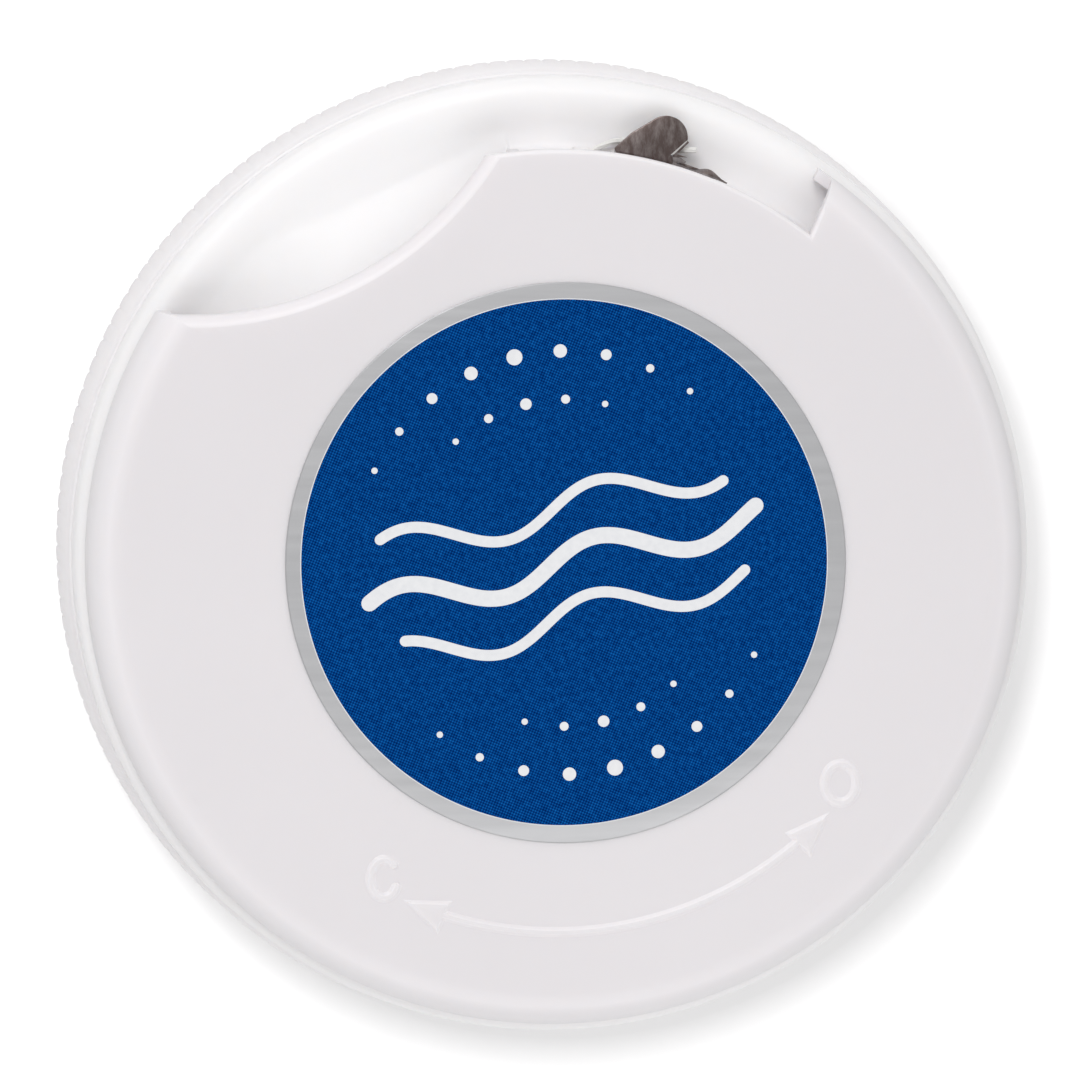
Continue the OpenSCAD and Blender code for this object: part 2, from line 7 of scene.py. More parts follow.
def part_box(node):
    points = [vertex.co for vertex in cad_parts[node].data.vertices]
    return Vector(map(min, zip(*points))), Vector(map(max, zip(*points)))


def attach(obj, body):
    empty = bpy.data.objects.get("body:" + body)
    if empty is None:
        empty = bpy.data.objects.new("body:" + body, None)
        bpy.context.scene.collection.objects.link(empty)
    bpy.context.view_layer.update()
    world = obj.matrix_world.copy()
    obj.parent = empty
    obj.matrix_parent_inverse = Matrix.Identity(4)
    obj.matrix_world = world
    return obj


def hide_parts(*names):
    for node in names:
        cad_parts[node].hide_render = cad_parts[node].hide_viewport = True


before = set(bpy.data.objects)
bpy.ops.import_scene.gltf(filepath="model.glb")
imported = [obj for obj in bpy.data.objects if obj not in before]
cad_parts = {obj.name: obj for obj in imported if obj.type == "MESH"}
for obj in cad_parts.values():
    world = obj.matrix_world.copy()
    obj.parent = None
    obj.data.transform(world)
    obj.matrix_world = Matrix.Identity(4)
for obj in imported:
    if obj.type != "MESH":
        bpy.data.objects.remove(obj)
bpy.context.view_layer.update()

# Rear case
# A cup moulded in white polypropylene, with a ribbed grip round its wall. It
# holds the bobbin on a hollow spindle and has a plain index bar on the ribs.
MM = 0.001
plug_h = 4.0
ledge_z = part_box("inner_deck")[0].z / MM + plug_h
case_r = 30.2
bore_r = 29.05
grip_r = 30.8
grip_lean = 0.4
rib_count = 172
rib_z0 = 1.7
rib_z1 = ledge_z - 0.6
rib_power = 0.12
valley_h = 0.19
open_a = -38.3
index_half_w = 1.0
index_rise = 0.8
groove_r = 24.7
groove_h = 0.22
back_t = 1.2
edge_round = 1.1
spindle_r = 3.5
spindle_bore_r = 2.4
spindle_z = 12.2


def polar(r, a):
    return r * math.cos(math.radians(a)), r * math.sin(math.radians(a))


def arc(r, z, w, h, a0, a1, steps):
    """Points of an arc in a radius and height section."""
    angles = [a0 + (a1 - a0) * i / steps for i in range(steps + 1)]
    return [(r + w * math.cos(math.radians(a)), z + h * math.sin(math.radians(a))) for a in angles]


def smooth_step(x):
    x = min(1.0, max(0.0, x))
    return x * x * (3 - 2 * x)


def pick(piece):
    bpy.ops.object.select_all(action="DESELECT")
    piece.select_set(True)
    bpy.context.view_layer.objects.active = piece
    return piece


def shaded(piece, sharp=38):
    pick(piece)
    bpy.ops.object.shade_smooth_by_angle(angle=math.radians(sharp))
    return piece


def fresh(name):
    """The piece that a primitive has just added, under its own name."""
    piece = bpy.context.active_object
    piece.name = name
    piece.data.name = name
    return piece


def cleaned(piece):
    """Merges doubled points, drops empty faces and turns every face outwards."""
    pick(piece)
    bpy.ops.object.mode_set(mode="EDIT")
    bpy.ops.mesh.select_all(action="SELECT")
    bpy.ops.mesh.remove_doubles(threshold=0.0005 * MM)
    bpy.ops.mesh.dissolve_degenerate(threshold=0.0002 * MM)
    bpy.ops.mesh.normals_make_consistent(inside=False)
    bpy.ops.object.mode_set(mode="OBJECT")
    piece.location = (0, 0, 0)
    return piece


def spun(name, section, steps=192, copies=12, sharp=38, angle=360, start=0):
    """A solid spun about the axis from a closed section of radii and heights in mm.
    A full turn is one sector, spun and then repeated round the axis."""
    bpy.ops.object.select_all(action="DESELECT")
    bpy.ops.mesh.primitive_circle_add(vertices=len(section), radius=1, fill_type="NOTHING")
    piece = fresh(name)
    c, s = polar(1, start)
    for vertex, (r, z) in zip(piece.data.vertices, section):
        vertex.co = (r * c * MM, r * s * MM, z * MM)
    bpy.ops.object.mode_set(mode="EDIT")
    bpy.ops.mesh.select_all(action="SELECT")
    if angle < 360:
        copies = 1
        bpy.ops.mesh.edge_face_add()
    turn = math.radians(angle / copies)
    bpy.ops.mesh.spin(steps=steps // copies, angle=turn, center=(0, 0, 0), axis=(0, 0, 1))
    bpy.ops.object.mode_set(mode="OBJECT")
    if copies > 1:
        pivot = bpy.data.objects.new("pivot", None)
        bpy.context.scene.collection.objects.link(pivot)
        pivot.rotation_euler.z = turn
        around = piece.modifiers.new("around", "ARRAY")
        around.count = copies
        around.use_relative_offset = False
        around.use_object_offset = True
        around.offset_object = pivot
        bpy.ops.object.modifier_apply(modifier=around.name)
        bpy.data.objects.remove(pivot)
    return shaded(cleaned(piece), sharp)


case_section = [(0, 0), (groove_r - 0.34, 0), (groove_r - 0.28, groove_h)]
case_section += [(groove_r + 0.28, groove_h), (groove_r + 0.34, 0)]
case_section += arc(case_r - edge_round, edge_round, edge_round, edge_round, -90, 0, 7)
rib_ends = (0, 0.08, 0.25, 0.6)
case_section += [(case_r, rib_z0 + rise) for rise in rib_ends]
case_section += [(case_r, (rib_z0 + rib_z1) / 2)]
case_section += [(case_r, rib_z1 - drop) for drop in rib_ends[::-1]]
case_section += arc(case_r - 0.15, ledge_z - 0.15, 0.15, 0.15, 0, 90, 4)
case_section += [(bore_r + 0.1, ledge_z), (bore_r, ledge_z - 0.1), (bore_r, back_t + edge_round)]
case_section += arc(bore_r - edge_round, back_t + edge_round, edge_round, edge_round, -20, -90, 3)
case_section += [(6.1, back_t), (6, back_t + 0.3), (spindle_r, back_t + 0.3)]
case_section += [(spindle_r, spindle_z - 0.5), (spindle_r - 0.5, spindle_z)]
case_section += [(spindle_bore_r, spindle_z), (spindle_bore_r, back_t), (0, back_t)]
case = spun("ribbed_case", case_section, steps=8 * rib_count, copies=rib_count)


def rib_rise(a):
    """Height of the grip at an angle: broad pads that meet in narrow valleys."""
    gap = (a - open_a + 180) % 360 - 180
    if abs(math.radians(gap) * grip_r) < index_half_w:
        return index_rise
    return abs(math.sin(math.pi * a * rib_count / 360)) ** rib_power


for vertex in case.data.vertices:
    x, y, z = vertex.co / MM
    if math.hypot(x, y) > case_r - 0.01 and rib_z0 < z < rib_z1:
        up = (z - rib_z0) / (rib_z1 - rib_z0)
        tip = grip_r - grip_lean * up
        valley = tip - valley_h * (1 - up) ** 3 - 0.01
        fade = math.sqrt(smooth_step(min(z - rib_z0, rib_z1 - z) / 0.5))
        out = valley + (tip - valley) * rib_rise(math.degrees(math.atan2(y, x))) - case_r
        vertex.co.x *= 1 + out * fade / case_r
        vertex.co.y *= 1 + out * fade / case_r


def painted(name):
    """A new material, its nodes and links, its shader and the piece's own coordinates."""
    material = bpy.data.materials.new(name)
    material.use_nodes = True
    nodes, links = material.node_tree.nodes, material.node_tree.links
    place = nodes.new("ShaderNodeTexCoord").outputs["Object"]
    return material, nodes, links, nodes["Principled BSDF"], place


def stretched(nodes, links, place, angle, scale):
    """The coordinates scaled, then turned about the axis."""
    mapping = nodes.new("ShaderNodeMapping")
    mapping.inputs["Rotation"].default_value = (0, 0, math.radians(angle))
    mapping.inputs["Scale"].default_value = scale
    links.new(place, mapping.inputs["Vector"])
    return mapping.outputs["Vector"]


def noise(nodes, links, place, scale, detail=2, roughness=0.5):
    texture = nodes.new("ShaderNodeTexNoise")
    texture.inputs["Scale"].default_value = scale
    texture.inputs["Detail"].default_value = detail
    texture.inputs["Roughness"].default_value = roughness
    links.new(place, texture.inputs["Vector"])
    return texture.outputs["Fac"]


def blend(nodes, links, share, dark, light, low=0, high=1):
    """A colour between two, as a share sets it."""
    tint = nodes.new("ShaderNodeValToRGB")
    tint.color_ramp.elements[0].position = low
    tint.color_ramp.elements[1].position = high
    tint.color_ramp.elements[0].color = [*dark, 1]
    tint.color_ramp.elements[1].color = [*light, 1]
    links.new(share, tint.inputs["Fac"])
    return tint


def spread(nodes, links, share, low, high, socket):
    """Sets a socket between two values, as a share says."""
    between = nodes.new("ShaderNodeMapRange")
    between.inputs["To Min"].default_value = low
    between.inputs["To Max"].default_value = high
    links.new(share, between.inputs["Value"])
    links.new(between.outputs["Result"], socket)


def embossed(nodes, links, share, strength, depth, shader):
    """Fine relief, its depth in mm."""
    bump = nodes.new("ShaderNodeBump")
    bump.inputs["Strength"].default_value = strength
    bump.inputs["Distance"].default_value = depth * MM
    links.new(share, bump.inputs["Height"])
    links.new(bump.outputs["Normal"], shader.inputs["Normal"])


def moulded_plastic(name, colour, roughness=0.4, side_shade_tone=1.0, flat_shade_tone=1.0):
    """Satin moulded polypropylene: light passes a little way in, and the gloss is uneven.
    Tones under 1 paint shade by facing: upright sides and flat faces come out greyer than the round edges."""
    material, nodes, links, shader, place = painted(name)
    shader.inputs["Roughness"].default_value = roughness
    shader.inputs["IOR"].default_value = 1.49
    shader.inputs["Subsurface Weight"].default_value = 0.6
    shader.inputs["Subsurface Radius"].default_value = (1.0, 0.95, 0.9)
    shader.inputs["Subsurface Scale"].default_value = 0.9 * MM
    cloud = noise(nodes, links, place, 55, 3)
    tint = blend(nodes, links, cloud, [c * 0.985 for c in colour], colour, 0.3, 0.7)
    # Painted shade by facing: the colour is scaled by the normal's height, so sides and flat faces come out
    # darker than round edges
    surface = nodes.new("ShaderNodeNewGeometry")
    facing = nodes.new("ShaderNodeSeparateXYZ")
    links.new(surface.outputs["Normal"], facing.inputs["Vector"])
    facing_shade = blend(nodes, links, facing.outputs["Z"], [side_shade_tone] * 3, [flat_shade_tone] * 3)
    for position in (0.6, 0.9):
        facing_shade.color_ramp.elements.new(position).color = (1, 1, 1, 1)
    tint_with_painted_shade = nodes.new("ShaderNodeVectorMath")
    tint_with_painted_shade.operation = "MULTIPLY"
    links.new(tint.outputs["Color"], tint_with_painted_shade.inputs[0])
    links.new(facing_shade.outputs["Color"], tint_with_painted_shade.inputs[1])
    links.new(tint_with_painted_shade.outputs["Vector"], shader.inputs["Base Color"])
    spread(nodes, links, cloud, roughness - 0.03, roughness + 0.04, shader.inputs["Roughness"])
    embossed(nodes, links, noise(nodes, links, place, 4200), 0.05, 0.02, shader)
    return material


def dressed(piece, material, body, slot, *nodes):
    piece.data.materials.clear()
    piece.data.materials.append(material)
    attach(piece, body)
    if nodes:
        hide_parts(*nodes)


white_case = moulded_plastic("white_case_plastic", (0.92, 0.89, 0.905))
dressed(case, white_case, "case", "case_plastic", "rear_case")

# Inner deck
# A drum moulded in the same white plastic, plugged into the case. A round ridge
# edges its channel floor, and the thumb dish is pressed in beside the raised wall.
drum_r = 30.0
plug_r = 29.0
plug_in = 28.0
hub_r = 6.0
plate_z = 13.5
floor_in = 24.5
floor_z = 12.6
ridge_r = 26.6
crest_r = 28.85
ridge_h = 0.27
ridge_steps = 14
deck_z = 14.5
wall_r = 25.5
dish_r = 20.7
dish_w = 7.0
dish_a0 = 96.7
dish_a1 = 229.7
ramp_a = 115
ramp_in = 25.4
ramp_slope = 0.3
ramp_soft = 0.09
crease_soft = 0.0012
wall_round = 0.3
foot_round = 0.5
ridge_round = 1.1
exit_a = 85


def laid(name, columns, closed=True, sharp=38):
    """A sheet laid over columns of points in mm, joined at its seams and poles."""
    if closed:
        columns = columns + columns[:1]
    rows = len(columns[0])
    bpy.ops.object.select_all(action="DESELECT")
    bpy.ops.mesh.primitive_grid_add(x_subdivisions=rows - 1, y_subdivisions=len(columns) - 1, size=1)
    piece = fresh(name)
    for i, column in enumerate(columns):
        for j, point in enumerate(column):
            piece.data.vertices[i * rows + j].co = [c * MM for c in point]
    return shaded(cleaned(piece), sharp)


def bowl_height(r):
    fall = max(0.0, 1 - (r - dish_r) / dish_w)
    return min(deck_z, floor_z + (deck_z - floor_z) * fall * fall)


def dish_height(r, a):
    """Height of the dish, whose bowl meets the channel floor in a straight soft crease."""
    run = ramp_in - r * math.cos(math.radians(a - ramp_a))
    ramp = ramp_slope * (run + math.sqrt(run * run + ramp_soft)) / 2
    bowl = bowl_height(r) - floor_z
    return floor_z + max(0.0, (bowl + ramp - math.sqrt((bowl - ramp) ** 2 + crease_soft)) / 2)


def deck_sections(a):
    """The raised wall's section and the dish's at an angle, point by point alike."""
    raised = [(hub_r, deck_z - 0.6), (hub_r, deck_z - 0.2), (hub_r + 0.06, deck_z - 0.06)]
    raised += [(hub_r + 0.2, deck_z), (12, deck_z), (18, deck_z)]
    dished = list(raised)
    for i in range(16):
        r = 20.2 + 0.32 * i
        raised.append((min(r, wall_r - 0.4), deck_z))
        dished.append((r, dish_height(r, a)))
    wall = arc(wall_r - wall_round, deck_z - wall_round, wall_round, wall_round, 90, 0, 5)
    wall += [(wall_r, deck_z - 0.6), (wall_r, deck_z - 1)]
    wall += arc(wall_r + foot_round, floor_z + foot_round, foot_round, foot_round, 180, 270, 6)
    for i, point in enumerate(wall):
        r = 25.15 + 1.1 * i / (len(wall) - 1)
        raised.append(point)
        dished.append((r, dish_height(r, a)))
    for i in range(ridge_steps + 1):
        r = ridge_r + (crest_r - ridge_r) * i / ridge_steps
        rise = ridge_h * (1 - math.cos(math.pi * i / ridge_steps)) / 2
        raised.append((r, floor_z + rise))
        dished.append((r, dish_height(r, a) + rise))
    ridge = arc(crest_r, floor_z + ridge_h - ridge_round, ridge_round, ridge_round, 82, 0, 9)
    ridge += [(29.97, 11.2), (29.99, 10), (drum_r, 9.12), (drum_r - 0.1, ledge_z), (plug_r, ledge_z)]
    bead = [(plug_r, 7.5), (plug_r + 0.2, 7.2), (plug_r + 0.2, 6.8), (plug_r, 6.5)]
    foot = [(plug_r, 5.1), (plug_r - 0.1, 5), (plug_in, 5), (plug_in, 9)]
    foot += [(29, 10), (29, 11.6), (floor_in, 11.6)]
    under = [(floor_in, 12.4), (floor_in, plate_z), (22.6, plate_z), (20.7, plate_z), (18, plate_z)]
    pressed = [(floor_in, 11.8), (24, 12.02), (22.6, 12.38), (20.7, 13.25), (18, plate_z)]
    hub = [(hub_r + 0.2, plate_z), (hub_r, plate_z + 0.1)]
    edge = ridge + bead + foot
    return raised + edge + under + hub, dished + edge + pressed + hub


def dish_share(a):
    """How far a section is pressed into the dish: all the way between the two stop walls."""
    return smooth_step((a - dish_a0 + 0.3) / 0.6) * smooth_step((dish_a1 - a + 0.3) / 0.6)


def deck_angles():
    angles = [i * 1.0 for i in range(360)]
    for edge in [dish_a0, dish_a1]:
        angles = [a for a in angles if abs(a - edge) > 0.8]
        angles += [edge + 0.1 * i for i in range(-5, 6)]
    return sorted(angles)


def deck_column(a):
    share = dish_share(a)
    c, s = polar(1, a)
    column = []
    for (r0, z0), (r1, z1) in zip(*deck_sections(a)):
        r = r0 + (r1 - r0) * share
        column.append((r * c, r * s, z0 + (z1 - z0) * share))
    return column + column[:1]


def combined(piece, operation, other):
    """Cuts another shape out of the piece, fuses it on, or keeps what lies in both."""
    pick(piece)
    step = piece.modifiers.new("step", "BOOLEAN")
    step.operation = operation
    step.solver = "EXACT"
    step.object = other
    bpy.ops.object.modifier_apply(modifier=step.name)
    bpy.data.objects.remove(other)


deck = laid("channel_deck", [deck_column(a) for a in deck_angles()])

bpy.ops.object.select_all(action="DESELECT")
bpy.ops.mesh.primitive_cube_add(size=1)
slot_tool = bpy.context.active_object
slot_tool.data.transform(Matrix.Diagonal((2.2 * MM, 2.6 * MM, 1.0 * MM, 1)))
pick(slot_tool)
bpy.ops.object.mode_set(mode="EDIT")
bpy.ops.mesh.select_all(action="SELECT")
bpy.ops.mesh.bevel(offset=0.3 * MM, segments=4)
bpy.ops.object.mode_set(mode="OBJECT")
slot_place = Vector((*polar(wall_r - 0.1, exit_a), floor_z + 0.6)) * MM
slot_tool.data.transform(Matrix.Translation(slot_place) @ Matrix.Rotation(math.radians(exit_a), 4, "Z"))
combined(deck, "DIFFERENCE", slot_tool)
shaded(deck)

# The same white plastic as the cover, given a lighter colour: painted light for the bright channel and dish
lit_white_deck = moulded_plastic("lit_white_deck_plastic", (0.985, 0.95, 0.965), 0.45)
dressed(deck, lit_white_deck, "case", "deck_plastic", "inner_deck")

# Steel cutter
# Stamped and folded from dark stainless strip. Its legs press into the deck, its
# tongue lies over the floss, and a small notch beside the tongue holds and cuts it.
steel_t = 0.3
tongue_a = 77.0
strip_r = wall_r + 0.05
steel_z = 14.2
tip_r = 1.36
tip_x = 27.1
tip_y = -0.65


def flat_sheet(name, outline, z0, z1, edge):
    """A sheet cut to an outline in mm, with its edges rolled over slightly."""
    bpy.ops.object.select_all(action="DESELECT")
    bpy.ops.mesh.primitive_circle_add(vertices=len(outline), radius=1, fill_type="NGON")
    piece = fresh(name)
    for vertex, (x, y) in zip(piece.data.vertices, outline):
        vertex.co = (x * MM, y * MM, z0 * MM)
    bpy.ops.object.mode_set(mode="EDIT")
    bpy.ops.mesh.select_all(action="SELECT")
    bpy.ops.mesh.extrude_region_move(TRANSFORM_OT_translate={"value": (0, 0, (z1 - z0) * MM)})
    bpy.ops.mesh.select_all(action="SELECT")
    bpy.ops.mesh.normals_make_consistent(inside=False)
    if edge:
        bpy.ops.mesh.select_all(action="DESELECT")
        bpy.ops.object.mode_set(mode="OBJECT")
        for rim in piece.data.edges:
            a, b = (piece.data.vertices[i].co.z for i in rim.vertices)
            rim.select = abs(a - b) < 0.01 * MM
        bpy.ops.object.mode_set(mode="EDIT")
        bpy.ops.mesh.bevel(offset=edge * MM, segments=3, clamp_overlap=True)
    bpy.ops.object.mode_set(mode="OBJECT")
    piece.location = (0, 0, 0)
    return piece


def about(a, points):
    """Points given along and across a direction from the axis, as plan points."""
    c, s = polar(1, a)
    return [(x * c - y * s, x * s + y * c) for x, y in points]


tongue_outline = [(25.52, 2.2), (25.74, 2.34), (26.9, 1.52)]
tongue_outline += [(tip_x + dx, tip_y + dy) for dx, dy in (polar(tip_r, 50 - 7 * i) for i in range(20))]
tongue_outline += [(26.08, -1.14), (26.05, -1.28), (25.78, -1.41), (25.52, -1.41)]
tongue = flat_sheet("cutter_tongue", about(tongue_a, tongue_outline), steel_z - steel_t, steel_z, 0.05)
ground_outline = [(27.22, -1.9), (26.08, -1.1), (26.2, -1.36), (27.2, -2.02)]
ground = flat_sheet("ground_edge", about(tongue_a, ground_outline), steel_z - 0.2, steel_z - 0.03, 0)
lip_outline = [(27.24, -1.98), (26.15, -1.3), (26.26, -1.49), (26.25, -1.56), (27.12, -2.12)]
lip = flat_sheet("cutting_lip", about(tongue_a, lip_outline), steel_z - 0.28, steel_z - 0.1, 0)
prong_outline = [(26.2, -1.36), (26.26, -1.49), (26.2, -2.23), (26.09, -1.6), (26.03, -1.3)]
prong = flat_sheet("cutter_prong", about(tongue_a, prong_outline), steel_z - 0.25, steel_z - 0.06, 0)
shelf_outline = [(26.1, -1.1), (26.08, -1.86), (25.91, -2.23), (25.78, -2.13), (25.7, -1.41), (25.7, -1.1)]
shelf = flat_sheet("prong_shelf", about(tongue_a, shelf_outline), steel_z - 0.32, steel_z - 0.14, 0.03)


strip_section = [(0, 0), (0.8, 0), (1, 0.08), (1, 0.92), (0.8, 1)]
strip_section += [(0.2, 1), (0, 0.92), (0, 0.08), (0.2, 0)]


def strip_column(share):
    """Section of the strip along the wall; past the notch it rolls out to a pointed spur."""
    a = 81.9 - 16.2 * share
    roll = smooth_step((share - 0.66) / 0.3)
    taper = 1 - smooth_step((share - 0.8) / 0.2) * 0.85
    height = 1.1 * taper * (1 - 0.62 * roll)
    lean = math.radians(62 * roll)
    base_r = strip_r + 0.05 * roll
    top_z = steel_z - 0.1 - 0.2 * roll * roll
    half_t = steel_t / 2 * (1 - 0.65 * smooth_step((share - 0.45) / 0.25))
    c, s = polar(1, a)
    points = []
    for across, down in strip_section:
        x = (across - 0.5) * 2 * half_t
        z = -down * height
        r = base_r + half_t + x * math.cos(lean) - z * math.sin(lean)
        points.append((r * c, r * s, top_z + z * math.cos(lean) + x * math.sin(lean)))
    return points


def capped(columns):
    """Closes both ends of a swept row of sections at their middles."""
    def middle(column):
        ring = column[:-1]
        return [tuple(sum(p[i] for p in ring) / len(ring) for i in range(3))] * len(column)
    return [middle(columns[0])] + columns + [middle(columns[-1])]


strip = laid("cutter_strip", capped([strip_column(i / 60) for i in range(61)]), closed=False)
legs = []
for leg_a in [70.8, 78.3]:
    leg = [(strip_r, -0.8), (strip_r + steel_t, -0.8), (strip_r + steel_t, 0.8), (strip_r, 0.8)]
    legs.append(flat_sheet("cutter_leg", about(leg_a, leg), 11.3, 13.2, 0.05))


def joined(piece, *others):
    """Joins others to the piece, as one moulding or one stamping."""
    pick(piece)
    for other in others:
        other.select_set(True)
    bpy.ops.object.join()
    return piece


def steel(name, dark, light, roughness=0.22):
    """Stainless sheet that mirrors the white plastic and the dark room, with fine wear marks."""
    material, nodes, links, shader, place = painted(name)
    shader.inputs["Metallic"].default_value = 1
    marks = noise(nodes, links, stretched(nodes, links, place, -15, (2600, 900, 900)), 1, 6, 0.7)
    tint = blend(nodes, links, marks, dark, light, 0.42, 0.8)
    links.new(tint.outputs["Color"], shader.inputs["Base Color"])
    spread(nodes, links, marks, roughness, roughness + 0.2, shader.inputs["Roughness"])
    return material


dark_steel = steel("dark_cutter_steel", (0.15, 0.115, 0.108), (0.36, 0.32, 0.31))
# A bright copy of the steel for the ground cutting edge: real grinding, with a painted highlight where the
# edge mirrors the white plastic
ground_steel_painted_glint = steel("ground_steel_painted_glint", (0.86, 0.84, 0.82), (0.95, 0.94, 0.93), 0.15)
# A lighter copy of the same steel: painted light on the prong shelf and on lit faces of the strip
painted_light_steel = steel("painted_light_cutter_steel", (0.25, 0.22, 0.22), (0.5, 0.47, 0.46))
ground.data.materials.append(ground_steel_painted_glint)
shelf.data.materials.append(painted_light_steel)
for blade in (strip, tongue, lip, prong, *legs):
    blade.data.materials.append(dark_steel)
strip.data.materials.append(painted_light_steel)
# Painted light: the strip's inner side, and all of it short of the spur, take the lighter steel copy
strip_lit_r = strip_r + 0.14
strip_lit_a = 72.5
for face in strip.data.polygons:
    inner = math.hypot(face.center.x, face.center.y) < strip_lit_r * MM
    face.material_index = int(inner or math.atan2(face.center.y, face.center.x) > math.radians(strip_lit_a))
cutter = shaded(joined(tongue, strip, lip, prong, ground, shelf, *legs), 30)
cutter.name = "steel_cutter"
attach(cutter, "case")
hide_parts("cutter_blade")

# Front cover
# A shallow cap of white plastic that turns on the deck. Its edge is cut away by a
# soft thumb scoop and a window beside the cutter, and marks are raised on its face.
face_z = 16.0
under_z = 14.8
edge_z = 13.15
cover_r = 29.35
cap_flat_r = 27.0
cap_round_w = 2.3
cap_round_h = 2.4
scoop_a = 121.6
scoop_c = 43.3
scoop_r = 22.5
window_r = 25.6
window_a = 52.5
window_far_a = 118
window_round = 0.3
end_lean = 13
end_a = window_a + end_lean
skirt_r = 28.55
boss_r = 5.93
boss_in = 4.83
boss_z = 12.4

cap_section = [(0, face_z), (12, face_z), (20, face_z), (24, face_z), (26, face_z)]
cap_section += arc(cap_flat_r, face_z - cap_round_h, cap_round_w, cap_round_h, 90, 0, 18)
cap_section += [(cover_r, edge_z + 0.08), (cover_r - 0.08, edge_z), (skirt_r, edge_z)]
cap_section += arc(skirt_r - 0.4, under_z - 0.4, 0.4, 0.4, 0, 90, 3)
cap_section += [(boss_r, under_z), (boss_r, boss_z + 0.9), (boss_r + 0.45, boss_z + 0.67)]
cap_section += [(boss_r + 0.45, boss_z + 0.45), (boss_r, boss_z), (boss_in, boss_z)]
cap_section += [(boss_in, under_z), (0, under_z)]
cover = spun("front_cap", cap_section, steps=720, copies=24, sharp=32)


def shifted(piece, x, y):
    piece.data.transform(Matrix.Translation((x * MM, y * MM, 0)))


# Wall that closes the scooped edge down to the dish, with a running gap below it
closing_gap = 0.08
closing_t = 0.7
closing_in = 21.5
closing_top = under_z + 0.1
closing_steps = [closing_in + 0.5 * i for i in range(10)] + [26.7]
closing_section = [(r, bowl_height(r) + closing_gap) for r in closing_steps]
closing_section += [(27.2, 12.78), (27.6, 12.86), (28, 12.93), (28.3, 12.99), (28.6, 13.05)]
closing_section += [(28.6, closing_top), (closing_in, closing_top)]
closing = spun("scoop_wall", closing_section, steps=110, angle=55.5, start=97)
wall_back_r = scoop_r + closing_t
wall_back = spun("wall_back", [(0, 12), (wall_back_r, 12), (wall_back_r, 15.4), (0, 15.4)], steps=264)
shifted(wall_back, *polar(scoop_c, scoop_a))
combined(closing, "INTERSECT", wall_back)
combined(cover, "UNION", closing)

scoop_round = 0.95
scoop_section = [(0, 11), (scoop_r - scoop_round - 0.2, 11)]
scoop_section += arc(scoop_r, face_z - scoop_round + 0.02, scoop_round, scoop_round, 177, 90, 14)
scoop_section += [(scoop_r, 17), (0, 17)]
scoop_tool = spun("scoop_tool", scoop_section, steps=408, copies=12)
shifted(scoop_tool, *polar(scoop_c, scoop_a))
combined(cover, "DIFFERENCE", scoop_tool)


def window_outline(flare):
    """Outline of the window's opening in the cover, let out by a flare."""
    inner = window_r - flare
    corner = Vector(polar(window_r, window_a)) + Vector(polar(flare, end_a - 90))
    out = Vector(polar(1, end_a))
    along = corner.dot(out)
    reach = -along + math.sqrt(along * along - corner.length_squared + inner * inner)
    foot = corner + out * reach
    foot_a = math.degrees(math.atan2(foot.y, foot.x))
    points = [polar(inner, foot_a + (window_far_a - foot_a) * i / 130) for i in range(131)]
    return points + [polar(34, window_far_a), polar(37, 88), tuple(foot + out * 12)]


def stacked(name, levels, middle):
    """A solid through outlines at rising heights, closed at both ends about a middle."""
    columns = []
    for i in range(len(levels[0][0])):
        column = [(*outline[i], z) for outline, z in levels]
        columns.append([(*middle, levels[0][1])] + column + [(*middle, levels[-1][1])])
    return laid(name, columns)


# The window's soft edge, and below it the low tab that the edge wall ends in
tab_top = 14.2
tab_l = 1.0
window_middle = polar(33, 86)
window_levels = [(window_outline(0), tab_top), (window_outline(0), face_z - window_round)]
for a in (15, 30, 45, 60, 75, 88):
    back, rise = polar(window_round, a)
    window_levels.append((window_outline(window_round - back), face_z - window_round + rise))
window_levels.append((window_outline(window_round), 17))
combined(cover, "DIFFERENCE", stacked("window_tool", window_levels, window_middle))
tab_start = Vector(polar(window_r, window_a)) + Vector(polar(tab_l, end_a + 90)) + Vector(polar(1.8, end_a))
tab_end = tab_start + Vector(polar(10, end_a))
skirt_from = 60
skirt_outline = [polar(window_r + 0.03, skirt_from + (window_far_a - skirt_from) * i / 60) for i in range(61)]
skirt_outline += [polar(34, window_far_a), polar(37, 88), tuple(tab_end), tuple(tab_start)]
skirt_levels = [(skirt_outline, 12), (skirt_outline, tab_top + 0.2)]
combined(cover, "DIFFERENCE", stacked("skirt_tool", skirt_levels, window_middle))

# Raised marks: an oval for open, a broken oval for closed, and a curved double arrow
mark_h = 0.155
mark_r = 22.55
stroke_half = 0.2
flank_out = 0.17
sunk = 0.1
flank = [(flank_out, -0.02), (0.12, 0.004), (0.07, 0.028), (0.01, 0.075), (-0.05, 0.12)]
flank += [(-0.1, 0.145), (-0.16, 0.153)]


def stroke_column(x, y, nx, ny):
    """Section of a raised stroke: soft flanks that flow into the face."""
    column = []
    for side, rows in ((1, flank), (-1, flank[::-1])):
        for out, rise in rows:
            d = side * (stroke_half + out)
            column.append((x + nx * d, y + ny * d, face_z + rise))
    d = stroke_half + flank_out
    column += [(x - nx * d, y - ny * d, face_z - sunk), (x + nx * d, y + ny * d, face_z - sunk)]
    return column + column[:1]


def oval_mark(name, a, r, half_w, half_h, a0, a1):
    x0, y0 = polar(r, a)
    steps = 64
    columns = []
    full = a1 - a0 >= 360
    for i in range(steps if full else steps + 1):
        t = math.radians(a0 + (a1 - a0) * i / steps)
        nx, ny = half_h * math.cos(t), half_w * math.sin(t)
        n = math.hypot(nx, ny)
        columns.append(stroke_column(x0 + half_w * math.cos(t), y0 + half_h * math.sin(t), nx / n, ny / n))
    if full:
        return laid(name, columns)
    return laid(name, rounded_ends(columns), closed=False)


